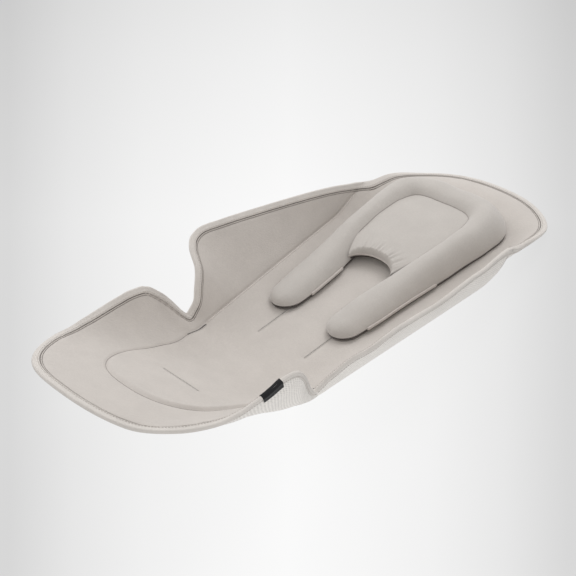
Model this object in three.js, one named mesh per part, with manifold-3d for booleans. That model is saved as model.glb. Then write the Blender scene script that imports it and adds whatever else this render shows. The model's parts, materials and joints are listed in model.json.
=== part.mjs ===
// Newborn comfort inlay for a bouncer seat: a padded liner with a flat back, two folding side wings,
// a dished seat and a horseshoe head pillow. Millimetres, +Z up, +Y towards the head, -Y towards the
// feet. The back lies flat on z = 0. Dimensions are drawn from the hip fold at y = 0; every node is then
// moved by ORIGIN_Y, so the origin is on the floor under the middle of the whole inlay.
import * as THREE from 'three';
import { mergeVertices } from 'three/addons/utils/BufferGeometryUtils.js';
import Module from 'manifold-3d';

const wasm = await Module();
wasm.setup();

// ---- driving dimensions -----------------------------------------------------------------------
const ORIGIN_Y = 109.9;                                  // middle of the inlay, from the hip fold
const THICKNESS = 11.4;                                  // liner, face to underside
const LAYER = { face: [0, 1.2], foam: [2.0, 7.7], mesh: [8.3, THICKNESS] };   // depths below the face
const LAYER_SETBACK = { face: 0.4, foam: 3.2, mesh: 4.6 };   // how far each layer stops short of a fold
const EDGE_INSET = 3;                                    // layers stop here, the binding fills the rest
const BINDING = { inner: -2.1, outer: 0.4, over: 0.3 };  // across the edge, and proud of the face

const BACK = { creaseHalf: 101.5, creaseFlare: 0.098, creaseLift: 10.6, wingEndY: 340 };
const DISH = { flatShare: 0.3, backPower: 4.5, seatPower: 2 };        // flat middle, then curved sides
const HEAD = { half: 135, startY: 352, centreY: 385, length: 108, power: 2.3 };
const SEAT = { arcRadius: 126, slope: THREE.MathUtils.degToRad(33.5), half: 141, centreY: -140,
  length: 127, power: 2.35, frontCrown: -15 };
const SEAT_PANEL = { half: 89.5, centreY: -104, length: 87, power: 2.4, seamGap: 0.4 };
const NOTCH_OPENING = { seat: 0.5, back: 0.35 };         // how fast the notch widens with height

// Tables run along Y: [y, value].
const SEAT_RIM_LIFT = [[-267, 0], [-210, 2], [-188, 7.5], [-167, 15], [-147, 25], [-128, 35],
  [-108, 46], [-90, 57], [-72, 69], [-50, 78], [-30, 56], [-11, 27], [0, 20]];
const SEAT_RIM_HALF = [[-140, 141], [-108, 141], [-72, 138], [-50, 136.5], [-30, 127], [-11, 116.5],
  [0, 112]];
const SEAT_PANEL_HALF = [[-104, 89.5], [-60, 93], [-25, 99], [0, 101.5]];
const HEAD_LIFT = [[0, 10.6], [310, 10.6], [354, 15], [396, 16], [431, 10], [451, 4.5], [472, 1], [493, 0]];
const WING_RIM = [[2, 122, 45], [12, 132, 64], [28, 143, 82], [46, 159, 99], [62, 166, 106], [75, 167.5, 107],
  [102, 164.5, 104], [168, 155, 92], [236, 144, 75], [300, 136, 54], [BACK.wingEndY, 135.5, 39]];   // [y, x, z]

const SLOT = { half: 2.6, ringWall: 2.1, gap: 0.3 };
const SHOULDER_SLOT = { x: 43, fromY: 42, toY: 112 };
const CROTCH_SLOT = { halfLength: 33.5, y: -117 };
const WAIST_SLOT = { x: 99.5, fromY: -43, toY: -21 };

const PILLOW = { baseBottom: 14.2, baseThickness: 1.4, bottom: 16.6, cover: 1.2, gap: 0.9 };
// Right half of the bolster from the top centre to the leg tip: [x, y, half width, top height].
const BOLSTER = [[0, 395, 22, 48], [28, 394.5, 23, 49], [51, 388.5, 25, 50], [69.5, 373, 27, 51],
  [77, 343, 25.5, 51], [77.3, 312, 23, 50.5], [74.5, 284, 23, 49.5], [70.2, 258, 24.3, 47.5], [66, 234, 26, 44.5],
  [61.2, 208, 28.8, 41], [58.2, 183, 30.8, 38.5], [55.5, 152, 29.2, 36], [52.5, 122, 25.5, 33.5], [51.5, 88, 22, 31]];
const HEAD_PAD = { lowY: 216, bow: 16, topY: 367 };      // the lower edge is hollowed by the bow
const HEAD_PAD_HALF = [[216, 31.5], [234, 37], [258, 43], [285, 48.5], [312, 51], [338, 48], [354, 40.5],
  [368, 24]];
const HEAD_PAD_TOP = [[216, 33], [240, 37], [270, 39], [330, 39.5], [368, 35.5]];
const STRAP_LIP = { inner: [134, 202], outer: [126, 246], thickness: 3.4 };
const PATCH = { x: 70, halfX: 8, fromY: 280, toY: 340, lift: 0.65, thickness: 0.7, gap: 0.3 };
const LABEL = { fromY: -104, toY: -70, wrap: 9, thickness: 0.8, clearance: 0.9 };

// ---- materials --------------------------------------------------------------------------------
const fabric = (color, roughness) => () =>
  new THREE.MeshStandardMaterial({ color, roughness, metalness: 0, side: THREE.FrontSide });
const FACE_JERSEY = fabric(0xc3bab3, 0.85);
const SPACER_MESH = fabric(0xe0dbd5, 0.9);
const EDGE_TAPE = fabric(0xd2cbc4, 0.8);
const FOAM = fabric(0xece6da, 0.95);
const WADDING = fabric(0xf2f0ec, 1.0);
const LOOP_TAPE = fabric(0xbfb7b0, 0.95);
const BLACK_TAPE = fabric(0x141415, 0.7);

// ---- helpers ----------------------------------------------------------------------------------
const { lerp, clamp } = THREE.MathUtils;

/** Smooth interpolation through [key, value, ...] rows; column picks the value. */
function along(rows, key, column = 1) {
  const k = clamp(key, rows[0][0], rows[rows.length - 1][0]);
  let i = 0;
  while (i < rows.length - 2 && k > rows[i + 1][0]) i += 1;
  const slope = (j) => (rows[j + 1][column] - rows[j][column]) / (rows[j + 1][0] - rows[j][0]);
  const tangent = (j) => {
    if (j === 0 || j === rows.length - 1) return slope(Math.min(j, rows.length - 2));
    const [a, b] = [slope(j - 1), slope(j)];
    return a * b <= 0 ? 0 : (2 * a * b) / (a + b);
  };
  const h = rows[i + 1][0] - rows[i][0];
  const t = (k - rows[i][0]) / h;
  const [p, q] = [rows[i][column], rows[i + 1][column]];
  return (2 * t ** 3 - 3 * t ** 2 + 1) * p + (t ** 3 - 2 * t ** 2 + t) * h * tangent(i)
    + (3 * t ** 2 - 2 * t ** 3) * q + (t ** 3 - t ** 2) * h * tangent(i + 1);
}

/** Half width of a rounded end of the given half width, length and squareness. */
const roundedEnd = (half, length, power, distance) =>
  half * Math.max(0, 1 - Math.abs(distance / length) ** power) ** (1 / power);

/** A closed slab of nu x nv cells; map(u, v, w) places each point of its two faces, w = 0 and w = 1. */
function slab(nu, nv, map) {
  const at = (i, j, k) => (k * (nv + 1) + j) * (nu + 1) + i;
  const spots = [];
  const index = [];
  for (let k = 0; k <= 1; k += 1) {
    for (let j = 0; j <= nv; j += 1) {
      for (let i = 0; i <= nu; i += 1) spots.push(map(i / nu, j / nv, k));
    }
  }
  const quad = (a, b, c, d) => index.push(a, b, c, a, c, d);
  for (let j = 0; j < nv; j += 1) {
    for (let i = 0; i < nu; i += 1) {
      quad(at(i, j, 1), at(i + 1, j, 1), at(i + 1, j + 1, 1), at(i, j + 1, 1));
      index.push(at(i, j, 0), at(i + 1, j + 1, 0), at(i + 1, j, 0));      // same diagonal as above it
      index.push(at(i, j, 0), at(i, j + 1, 0), at(i + 1, j + 1, 0));
    }
    quad(at(0, j, 0), at(0, j, 1), at(0, j + 1, 1), at(0, j + 1, 0));
    quad(at(nu, j, 0), at(nu, j + 1, 0), at(nu, j + 1, 1), at(nu, j, 1));
  }
  for (let i = 0; i < nu; i += 1) {
    quad(at(i, 0, 0), at(i + 1, 0, 0), at(i + 1, 0, 1), at(i, 0, 1));
    quad(at(i, nv, 0), at(i, nv, 1), at(i + 1, nv, 1), at(i + 1, nv, 0));
  }
  const geometry = new THREE.BufferGeometry().setFromPoints(spots);
  geometry.setIndex(index);
  return signedVolume(geometry) < 0 ? flipped(geometry) : geometry;
}

function signedVolume(geometry) {
  const [spot, index] = [geometry.attributes.position, geometry.index];
  const corner = [new THREE.Vector3(), new THREE.Vector3(), new THREE.Vector3()];
  let volume = 0;
  for (let i = 0; i < index.count; i += 3) {
    corner.forEach((c, k) => c.fromBufferAttribute(spot, index.getX(i + k)));
    volume += corner[0].dot(corner[1].clone().cross(corner[2])) / 6;
  }
  return volume;
}

function flipped(geometry) {
  const order = Array.from(geometry.index.array);
  for (let i = 0; i < order.length; i += 3) [order[i], order[i + 1]] = [order[i + 1], order[i]];
  geometry.setIndex(order);
  return geometry;
}

function toSolid(geometry) {
  const bare = new THREE.BufferGeometry();
  bare.setAttribute('position', geometry.attributes.position.clone());
  if (geometry.index) bare.setIndex(geometry.index.clone());
  const closed = mergeVertices(bare, 1e-4);
  return new wasm.Manifold(new wasm.Mesh({ numProp: 3,
    vertProperties: new Float32Array(closed.attributes.position.array),
    triVerts: new Uint32Array(closed.index.array) }));
}

function toGeometry(solid) {
  const mesh = solid.getMesh();
  const geometry = new THREE.BufferGeometry();
  geometry.setAttribute('position', new THREE.BufferAttribute(new Float32Array(mesh.vertProperties), 3));
  geometry.setIndex(new THREE.BufferAttribute(new Uint32Array(mesh.triVerts), 1));
  return geometry;
}

const cut = (geometry, tools) =>
  toGeometry(tools.reduce((solid, tool) => solid.subtract(toSolid(tool)), toSolid(geometry)));

const SIDES = [['left', -1], ['right', 1]];
const inlay = new THREE.Group();
inlay.name = 'bouncer_inlay';

function add(name, geometry, material) {
  const shaded = geometry.clone().translate(0, -ORIGIN_Y, 0);
  shaded.computeVertexNormals();
  const mesh = new THREE.Mesh(shaded, material());
  mesh.name = name;
  inlay.add(mesh);
}

// ---- the liner's face surface -----------------------------------------------------------------
/** Height of the face above the floor on the centre line. */
function centreHeight(y) {
  const run = Math.max(0, -y);
  const arcRun = SEAT.arcRadius * Math.sin(SEAT.slope);
  const arcRise = (r) => SEAT.arcRadius - Math.sqrt(SEAT.arcRadius ** 2 - r ** 2);
  return THICKNESS + arcRise(Math.min(run, arcRun)) + Math.max(0, run - arcRun) * Math.tan(SEAT.slope);
}

const creaseHalf = (y) => BACK.creaseHalf + BACK.creaseFlare * y;

function backHalf(y, inset = 0) {
  if (y < HEAD.startY) return creaseHalf(y);
  if (y < HEAD.centreY) return HEAD.half - inset;
  return roundedEnd(HEAD.half - inset, HEAD.length - inset, HEAD.power, y - HEAD.centreY);
}

function seatHalf(y, inset = 0) {
  if (y > SEAT.centreY) return along(SEAT_RIM_HALF, y) - inset;
  return roundedEnd(SEAT.half - inset, SEAT.length - inset, SEAT.power, y - SEAT.centreY);
}

function panelHalf(y) {
  if (y > SEAT_PANEL.centreY) return along(SEAT_PANEL_HALF, y);
  return roundedEnd(SEAT_PANEL.half, SEAT_PANEL.length, SEAT_PANEL.power, y - SEAT_PANEL.centreY);
}

/** How far the dished sides stand above the centre line. */
function sideLift(x, y) {
  const rise = (half) => Math.max(0, Math.abs(x) / half - DISH.flatShare) / (1 - DISH.flatShare);
  if (y >= 0) {
    const half = y < HEAD.startY ? creaseHalf(y) : HEAD.half;
    return along(HEAD_LIFT, y) * rise(half) ** DISH.backPower;
  }
  const half = y > SEAT.centreY ? along(SEAT_RIM_HALF, y) : SEAT.half;
  const power = lerp(DISH.backPower, DISH.seatPower, THREE.MathUtils.smoothstep(-y, 5, 75));
  const crown = SEAT.frontCrown * THREE.MathUtils.smoothstep(-y, 190, 267) * (x / half) ** 2;
  return along(SEAT_RIM_LIFT, y) * rise(half) ** power + crown;
}

const faceHeight = (x, y) => centreHeight(y) + sideLift(x, y);

/** A point a given depth below the face, measured square to it. */
function underFace(x, y, depth) {
  const step = 0.5;
  const normal = new THREE.Vector3(
    faceHeight(x - step, y) - faceHeight(x + step, y),
    faceHeight(x, y - step) - faceHeight(x, y + step), 2 * step).normalize();
  return new THREE.Vector3(x, y, faceHeight(x, y)).addScaledVector(normal, -depth);
}

/** A layer of the liner: every layer shares one grid, and a fold's setback only trims its last row. */
function linerLayer([top, bottom], rowCount, half, startY, tipY, setback, sideSetback) {
  const columns = 10;
  return slab(columns, rowCount, (a, v, w) => {
    const u = 2 * a - 1;
    const row = lerp(v, (1 - Math.cos(v * Math.PI)) / 2, 0.75);            // rows close up at both ends
    const start = startY(u * half(0));
    const towards = Math.sign(tipY - start);
    const free = lerp(start, tipY, row);
    const y = towards * Math.max(towards * free, towards * start + setback);
    const x = u * half(y);
    const widest = half(y) - sideSetback(y);
    return underFace(clamp(x, -widest, widest), y, lerp(bottom, top, w));
  });
}

// ---- strap slots ------------------------------------------------------------------------------
/** An upright prism with round ends, long enough to pass right through the liner. */
function slotPrism(fromX, fromY, toX, toY, halfWidth) {
  const [dx, dy] = [toX - fromX, toY - fromY];
  const length = Math.hypot(dx, dy);
  const outline = new THREE.Shape();
  outline.absarc(length / 2, 0, halfWidth, -Math.PI / 2, Math.PI / 2, false);
  outline.absarc(-length / 2, 0, halfWidth, Math.PI / 2, 1.5 * Math.PI, false);
  outline.closePath();
  const prism = new THREE.ExtrudeGeometry(outline, { depth: 200, bevelEnabled: false, curveSegments: 4 });
  prism.translate(0, 0, -40).rotateZ(Math.atan2(dy, dx));
  return prism.translate((fromX + toX) / 2, (fromY + toY) / 2, 0);
}

const slots = [];
for (const [side, sign] of SIDES) {
  const { x, fromY, toY } = SHOULDER_SLOT;
  slots.push({ name: `shoulder_slot_binding_${side}`, zone: 'back', ends: [sign * x, fromY, sign * x, toY] });
  slots.push({ name: `waist_slot_binding_${side}`, zone: 'seat',
    ends: [sign * WAIST_SLOT.x, WAIST_SLOT.fromY, sign * WAIST_SLOT.x, WAIST_SLOT.toY] });
}
slots.push({ name: 'crotch_slot_binding', zone: 'seat',
  ends: [-CROTCH_SLOT.halfLength, CROTCH_SLOT.y, CROTCH_SLOT.halfLength, CROTCH_SLOT.y] });

const slotTools = (zone, halfWidth) =>
  slots.filter((s) => s.zone === zone).map((s) => slotPrism(...s.ends, halfWidth));
const layerCut = SLOT.half + SLOT.ringWall + SLOT.gap;

// ---- back -------------------------------------------------------------------------------------
const headTipY = HEAD.centreY + (HEAD.length - EDGE_INSET) * 0.985;
const backStart = (x) => NOTCH_OPENING.back * sideLift(x, 0);
const backLayer = (depths, setback) => linerLayer(depths, 15, (y) => backHalf(y, EDGE_INSET), backStart,
  headTipY, setback, (y) => (y < HEAD.startY ? setback : 0));

for (const [name, layer, material] of [['back_face_panel', 'face', FACE_JERSEY],
  ['back_foam_core', 'foam', FOAM], ['back_spacer_mesh', 'mesh', SPACER_MESH]]) {
  add(name, cut(backLayer(LAYER[layer], LAYER_SETBACK[layer]), slotTools('back', layerCut)), material);
}

// ---- seat -------------------------------------------------------------------------------------
const seatFrontY = SEAT.centreY - (SEAT.length - EDGE_INSET) * 0.985;
const seatStart = (x) => -NOTCH_OPENING.seat * sideLift(x, -1);
const seatLayer = (depths, setback) => linerLayer(depths, 14, (y) => seatHalf(y, EDGE_INSET), seatStart,
  seatFrontY, setback, () => 0);

for (const [name, layer, material] of [['seat_foam_core', 'foam', FOAM],
  ['seat_spacer_mesh', 'mesh', SPACER_MESH]]) {
  add(name, cut(seatLayer(LAYER[layer], LAYER_SETBACK[layer]), slotTools('seat', layerCut)), material);
}

// The face is sewn from a centre panel and a border that runs round it.
const seatFace = toSolid(seatLayer(LAYER.face, LAYER_SETBACK.face));
function panelTool(grow) {
  const outline = new THREE.Shape();
  const edge = [];
  const steps = 14;
  for (let i = 0; i <= steps; i += 1) {
    const bend = (i / steps) * Math.PI / 2;
    edge.push([Math.sin(bend) ** (2 / SEAT_PANEL.power) * (SEAT_PANEL.half + grow),
      SEAT_PANEL.centreY - Math.cos(bend) ** (2 / SEAT_PANEL.power) * (SEAT_PANEL.length + grow)]);
  }
  for (const y of [-80, -52, -25, 10]) edge.push([panelHalf(y) + grow, y]);
  outline.setFromPoints([...edge.map(([x, y]) => new THREE.Vector2(x, y)),
    ...edge.slice(1).reverse().map(([x, y]) => new THREE.Vector2(-x, y))]);
  return toSolid(new THREE.ExtrudeGeometry(outline, { depth: 300, bevelEnabled: false }).translate(0, 0, -20));
}
const seatSlots = slotTools('seat', layerCut);
add('seat_centre_panel', cut(toGeometry(seatFace.intersect(panelTool(-SEAT_PANEL.seamGap / 2))), seatSlots),
  FACE_JERSEY);
add('seat_border_panel', cut(toGeometry(seatFace.subtract(panelTool(SEAT_PANEL.seamGap / 2))), seatSlots),
  FACE_JERSEY);

// ---- strap slot bindings ----------------------------------------------------------------------
const proud = -BINDING.over;
const blanks = {
  back: toSolid(backLayer([proud, THICKNESS], LAYER_SETBACK.face)),
  seat: toSolid(seatLayer([proud, THICKNESS], LAYER_SETBACK.face)),
};
for (const { name, zone, ends } of slots) {
  const ring = toSolid(slotPrism(...ends, SLOT.half + SLOT.ringWall))
    .subtract(toSolid(slotPrism(...ends, SLOT.half)));
  add(name, toGeometry(ring.intersect(blanks[zone])), EDGE_TAPE);
}

// ---- side wings -------------------------------------------------------------------------------
/** Point on a wing: t runs from the crease (0) to the rim (1), v from the hip to the head. */
function wingPoint(sign, t, v, depth, setback) {
  const y = lerp(WING_RIM[0][0], BACK.wingEndY, v);
  const creaseY = lerp(6, BACK.wingEndY, v);
  const crease = new THREE.Vector3(creaseHalf(creaseY), creaseY, THICKNESS + BACK.creaseLift);
  const rim = new THREE.Vector3(along(WING_RIM, y, 1), y, along(WING_RIM, y, 2));
  const across = rim.clone().sub(crease);
  const width = across.length();
  across.normalize();
  const creaseAxis = new THREE.Vector3(BACK.creaseFlare, 1, 0).normalize();
  const normal = creaseAxis.cross(across).negate().normalize();
  if (normal.x > 0) normal.negate();
  const reach = lerp(setback, width - EDGE_INSET, t);
  const p = crease.addScaledVector(across, reach).addScaledVector(normal, -depth);
  p.x *= sign;
  return p;
}

const wingRows = 14;
const wingRow = (v) => v ** 1.35;                        // rows crowd towards the hip corner
for (const [side, sign] of SIDES) {
  for (const [part, layer, material] of [['face', 'face', FACE_JERSEY], ['foam', 'foam', FOAM],
    ['mesh', 'mesh', SPACER_MESH]]) {
    const [top, bottom] = LAYER[layer];
    add(`wing_${side}_${part}`, slab(3, wingRows, (t, v, w) =>
      wingPoint(sign, t, wingRow(v), lerp(top, bottom, w), LAYER_SETBACK[layer] + 0.6)), material);
  }
}

// ---- edge bindings ----------------------------------------------------------------------------
/** A strip along an edge: frame(s) gives the edge point, its outward and its face-normal direction. */
function edgeStrip(steps, frame, [inner, outer], [top, bottom]) {
  return slab(steps, 1, (s, a, w) => {
    const { point, outward, normal } = frame(s);
    return point.clone().addScaledVector(outward, lerp(inner, outer, a))
      .addScaledVector(normal, -lerp(top, bottom, w));
  });
}

function surfaceEdge(edge) {
  return (s) => {
    const [x, y] = edge(s);
    const step = 1e-3;
    const [ax, ay] = edge(Math.max(0, s - step));
    const [bx, by] = edge(Math.min(1, s + step));
    const point = underFace(x, y, 0);
    const innerX = x * (1 - EDGE_INSET / SEAT.half);     // square to the layers that end beside the tape
    const normal = underFace(innerX, y, 0).sub(underFace(innerX, y, 1)).normalize();
    const tangent = underFace(bx, by, 0).sub(underFace(ax, ay, 0)).normalize();
    return { point, normal, outward: tangent.cross(normal).normalize() };
  };
}

const tapeAcross = [BINDING.inner, BINDING.outer];
const tapeDepth = [-BINDING.over, THICKNESS];
const powerCos = (angle, power) => Math.sign(Math.cos(angle)) * Math.abs(Math.cos(angle)) ** (2 / power);
const powerSin = (angle, power) => Math.abs(Math.sin(angle)) ** (2 / power);

/** Seat edge from the right notch round the front to the left notch. */
function seatEdge(s) {
  const notchY = -NOTCH_OPENING.seat * 33 - 7;
  const sideShare = 0.3;
  if (s < sideShare || s > 1 - sideShare) {
    const t = Math.min(s, 1 - s) / sideShare;
    const y = lerp(notchY, SEAT.centreY, t);
    return [(s < 0.5 ? 1 : -1) * along(SEAT_RIM_HALF, y), y];
  }
  const angle = ((s - sideShare) / (1 - 2 * sideShare)) * Math.PI;
  return [SEAT.half * powerCos(angle, SEAT.power), SEAT.centreY - SEAT.length * powerSin(angle, SEAT.power)];
}
/** Head edge from the end of the left wing round the top to the end of the right wing. */
function headEdge(s) {
  const straight = 0.12;
  if (s < straight || s > 1 - straight) {
    const t = Math.min(s, 1 - s) / straight;
    return [(s < 0.5 ? -1 : 1) * HEAD.half, lerp(HEAD.startY + 12, HEAD.centreY, t)];
  }
  const angle = Math.PI * (1 - (s - straight) / (1 - 2 * straight));
  return [HEAD.half * powerCos(angle, HEAD.power), HEAD.centreY + HEAD.length * powerSin(angle, HEAD.power)];
}
const reversed = (edge) => (s) => edge(1 - s);
add('seat_binding', edgeStrip(56, surfaceEdge(reversed(seatEdge)), tapeAcross, tapeDepth), EDGE_TAPE);
add('head_binding', edgeStrip(40, surfaceEdge(reversed(headEdge)), tapeAcross, tapeDepth), EDGE_TAPE);

for (const [side, sign] of SIDES) {
  const rim = (v, depth) => wingPoint(sign, 1, wingRow(v), depth, LAYER_SETBACK.face);
  add(`wing_${side}_binding`, slab(1, wingRows, (a, v, w) => {
    const row = clamp(v, 0, 1);
    const edge = rim(row, 0);
    const inward = wingPoint(sign, 0, wingRow(row), 0, LAYER_SETBACK.face);
    const outward = edge.clone().sub(inward).normalize();
    const normal = edge.clone().sub(rim(row, 1)).normalize();
    return edge.addScaledVector(outward, lerp(EDGE_INSET + BINDING.inner, EDGE_INSET + BINDING.outer, a))
      .addScaledVector(normal, -lerp(-BINDING.over, THICKNESS, w));
  }), EDGE_TAPE);
}

// ---- folded label on the right seat edge ------------------------------------------------------
{
  const reach = LABEL.wrap;
  const out = BINDING.outer + LABEL.clearance;
  const low = THICKNESS + LABEL.clearance;
  const high = -BINDING.over - LABEL.clearance;
  const inner = [[-reach, high], [out, high], [out, low], [-reach, low]];
  const t = LABEL.thickness;
  const outer = [[-reach, high - t], [out + t, high - t], [out + t, low + t], [-reach, low + t]];
  add('fold_label', slab(4, 3, (s, a, w) => {
    const y = lerp(LABEL.fromY, LABEL.toY, s);
    const frame = surfaceEdge((q) => [along(SEAT_RIM_HALF, y + 2 * q - 1), y + 2 * q - 1])(0.5);
    const k = Math.round(a * 3);
    const [across, depth] = [0, 1].map((i) => lerp(inner[k][i], outer[k][i], w));
    return frame.point.addScaledVector(frame.outward, across).addScaledVector(frame.normal, -depth);
  }), BLACK_TAPE);
}

// ---- head pillow ------------------------------------------------------------------------------
const bolsterPath = (() => {
  const right = BOLSTER.map(([x, y]) => new THREE.Vector3(x, y, 0));
  const left = BOLSTER.slice(1).reverse().map(([x, y]) => new THREE.Vector3(-x, y, 0));
  return new THREE.CatmullRomCurve3([...left, ...right], false, 'centripetal');
})();

/** Bolster section at s (0 left leg tip, 1 right leg tip): centre, sideways direction, width, top. */
function bolsterSection(s) {
  const half = (BOLSTER.length - 1);
  const knot = Math.abs(s * 2 - 1) * half;
  const table = BOLSTER.map((row, i) => [i, row[2], row[3]]);
  const centre = bolsterPath.getPoint(s);
  const tangent = bolsterPath.getTangent(s);
  const side = new THREE.Vector3(tangent.y, -tangent.x, 0);
  const tipLength = 24;
  const fromTip = Math.min(centre.distanceTo(bolsterPath.getPoint(s < 0.5 ? 0 : 1)), tipLength);
  const round = Math.sqrt(1 - (1 - fromTip / tipLength) ** 2 * 0.93);
  return { centre, side, width: along(table, knot, 1) * round,
    top: PILLOW.bottom + (along(table, knot, 2) - PILLOW.bottom) * (0.45 + 0.55 * round) };
}

const bolsterFoot = 0.8;                                 // the section is a little narrower at its base
/** Point of the bolster's outer skin: a runs across, shrink pulls the skin inwards. */
function bolsterSkin(s, a, shrink) {
  const { centre, side, width, top } = bolsterSection(s);
  const angle = Math.PI * (1 - a);
  const spread = powerCos(angle, 2.4) * (width - shrink);
  const rise = powerSin(angle, 2.4);
  const narrow = lerp(bolsterFoot, 1, Math.min(1, rise * 2));
  return centre.clone().addScaledVector(side, spread * narrow)
    .setZ(lerp(PILLOW.bottom, top - shrink, rise));
}

const bolsterSteps = 32;
const bolsterColumns = 6;
const skinFrom = 0.1;                                    // the cover's hems stop above the base panel
const bolsterCover = slab(bolsterSteps, bolsterColumns, (s, a, w) =>
  bolsterSkin(s, lerp(0.03, 0.97, a), lerp(0, PILLOW.cover, w)));
const bolsterFilling = slab(bolsterSteps, bolsterColumns, (s, a, w) => {
  const shrink = PILLOW.cover + PILLOW.gap;
  if (w > 0.5) return bolsterSkin(s, lerp(0.03, 0.97, a), shrink);
  const { centre, side, width } = bolsterSection(s);
  return centre.addScaledVector(side, lerp(-1, 1, a) * bolsterFoot * (width - shrink))
    .setZ(PILLOW.bottom + skinFrom);
});
add('bolster_cover', bolsterCover, FACE_JERSEY);
add('bolster_filling', bolsterFilling, WADDING);

/** Head pad between the bolster's legs; its lower edge is hollowed to clear the neck. */
function headPad(zAt, inset) {
  return slab(8, 9, (a, v, w) => {
    const u = 2 * a - 1;
    const low = HEAD_PAD.lowY + inset + HEAD_PAD.bow * (1 - u * u);
    const y = lerp(low, HEAD_PAD.topY - inset, v);
    const x = u * (along(HEAD_PAD_HALF, y) - inset);
    return new THREE.Vector3(x, y, zAt(x, y, w));
  });
}
const padTop = (y) => along(HEAD_PAD_TOP, y);
add('head_pad_cover', headPad((x, y, w) => padTop(y) - lerp(PILLOW.cover, 0, w), 1.5), FACE_JERSEY);
add('head_pad_filling', headPad((x, y, w) =>
  lerp(PILLOW.bottom + skinFrom, padTop(y) - PILLOW.cover - PILLOW.gap, w), 3), WADDING);

const baseTop = PILLOW.baseBottom + PILLOW.baseThickness;
const baseStrip = slab(bolsterSteps, 1, (s, a, w) => {
  const { centre, side, width } = bolsterSection(s);
  return centre.addScaledVector(side, lerp(-1, 1, a) * width * 0.46).setZ(lerp(PILLOW.baseBottom, baseTop, w));
});
const basePad = slab(1, 8, (a, v, w) => {
  const y = lerp(HEAD_PAD.lowY + HEAD_PAD.bow + 4, BOLSTER[0][1] - 5, v);
  return new THREE.Vector3((2 * a - 1) * (along(HEAD_PAD_HALF, y) + 12), y, lerp(PILLOW.baseBottom, baseTop, w));
});
add('pillow_base_panel', toGeometry(toSolid(baseStrip).add(toSolid(basePad))), EDGE_TAPE);

// Bound lips of the strap openings along the inner and outer edge of each leg.
const legParameter = (y, sign) => {
  let [low, high] = sign > 0 ? [0.62, 1] : [0.38, 0];
  for (let i = 0; i < 30; i += 1) {
    const mid = (low + high) / 2;
    if (bolsterPath.getPoint(mid).y > y) low = mid; else high = mid;
  }
  return low;
};
for (const [side, sign] of SIDES) {
  for (const [edge, edgeSign] of [['inner', -1], ['outer', 1]]) {
    const [fromY, toY] = STRAP_LIP[edge];
    const size = STRAP_LIP.thickness;
    add(`strap_lip_${edge}_${side}`, slab(6, 1, (s, a, w) => {
      const { centre, side: across, width } = bolsterSection(legParameter(lerp(fromY, toY, s), sign));
      if (across.x < 0) across.negate();
      return centre.addScaledVector(across, sign * edgeSign * (width * 0.98 + 0.5 + size * a))
        .setZ(PILLOW.bottom + 3.2 + size * w);
    }), EDGE_TAPE);
  }
}

// ---- hook-and-loop patches that hold the pillow -----------------------------------------------
for (const [side, sign] of SIDES) {
  const patch = (bottom, thickness, inset) => slab(1, 1, (a, v, w) => new THREE.Vector3(
    sign * (PATCH.x + lerp(-1, 1, a) * (PATCH.halfX - inset)),
    lerp(PATCH.fromY + inset, PATCH.toY - inset, v), bottom + thickness * w));
  add(`loop_patch_${side}`, patch(THICKNESS + PATCH.lift, PATCH.thickness, 0), LOOP_TAPE);
  add(`hook_patch_${side}`, patch(PILLOW.baseBottom - PATCH.gap - PATCH.thickness, PATCH.thickness, 1), LOOP_TAPE);
}

export default inlay;
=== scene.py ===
"""Looks for the newborn inlay of a bouncer seat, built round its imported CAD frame.

The liner is one padded surface: back, seat panel, seat border and two side wings meet along shared
seam lines, so their edges, thickness and shading agree. Drawing sizes are in millimetres, measured
from the hip fold as in the CAD source; world() turns them into the row frame's metres.
"""

import json
import math

import bmesh
import bpy
import numpy as np
from mathutils import Matrix, Vector, noise
from mathutils.bvhtree import BVHTree

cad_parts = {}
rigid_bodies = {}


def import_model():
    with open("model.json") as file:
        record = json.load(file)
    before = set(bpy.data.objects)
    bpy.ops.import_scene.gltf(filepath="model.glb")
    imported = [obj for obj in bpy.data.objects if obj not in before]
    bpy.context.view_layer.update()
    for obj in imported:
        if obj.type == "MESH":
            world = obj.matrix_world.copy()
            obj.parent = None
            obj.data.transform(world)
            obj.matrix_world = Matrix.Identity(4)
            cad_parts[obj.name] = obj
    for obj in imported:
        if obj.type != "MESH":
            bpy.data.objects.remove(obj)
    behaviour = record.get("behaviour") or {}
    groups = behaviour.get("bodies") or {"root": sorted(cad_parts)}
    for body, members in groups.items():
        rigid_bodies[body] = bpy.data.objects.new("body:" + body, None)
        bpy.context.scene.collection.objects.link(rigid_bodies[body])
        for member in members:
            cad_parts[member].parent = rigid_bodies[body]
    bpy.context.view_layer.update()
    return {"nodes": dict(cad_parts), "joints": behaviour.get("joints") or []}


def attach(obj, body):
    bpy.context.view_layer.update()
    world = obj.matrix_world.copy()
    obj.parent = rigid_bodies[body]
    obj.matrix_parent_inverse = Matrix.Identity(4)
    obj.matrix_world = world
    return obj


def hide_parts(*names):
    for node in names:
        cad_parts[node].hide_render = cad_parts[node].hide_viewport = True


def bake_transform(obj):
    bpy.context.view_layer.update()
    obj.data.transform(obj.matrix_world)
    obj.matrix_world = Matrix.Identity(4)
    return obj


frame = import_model()
joints = {j["name"]: j for j in frame["joints"]}
HIP_Y = joints["seat_fold"]["pos_m"][1]                 # the hip fold, in the row frame


def world(points):
    """Drawing millimetres, measured from the hip fold, to metres in the row frame."""
    return np.asarray(points, float) / 1000 + np.array([0, HIP_Y, 0])


def unit(v):
    return v / (np.linalg.norm(v, axis=-1, keepdims=True) + 1e-12)


def run_along(points):
    """Distance along a polyline at each of its points."""
    return np.concatenate([[0], np.cumsum(np.linalg.norm(np.diff(points, axis=0), axis=1))])


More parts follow.
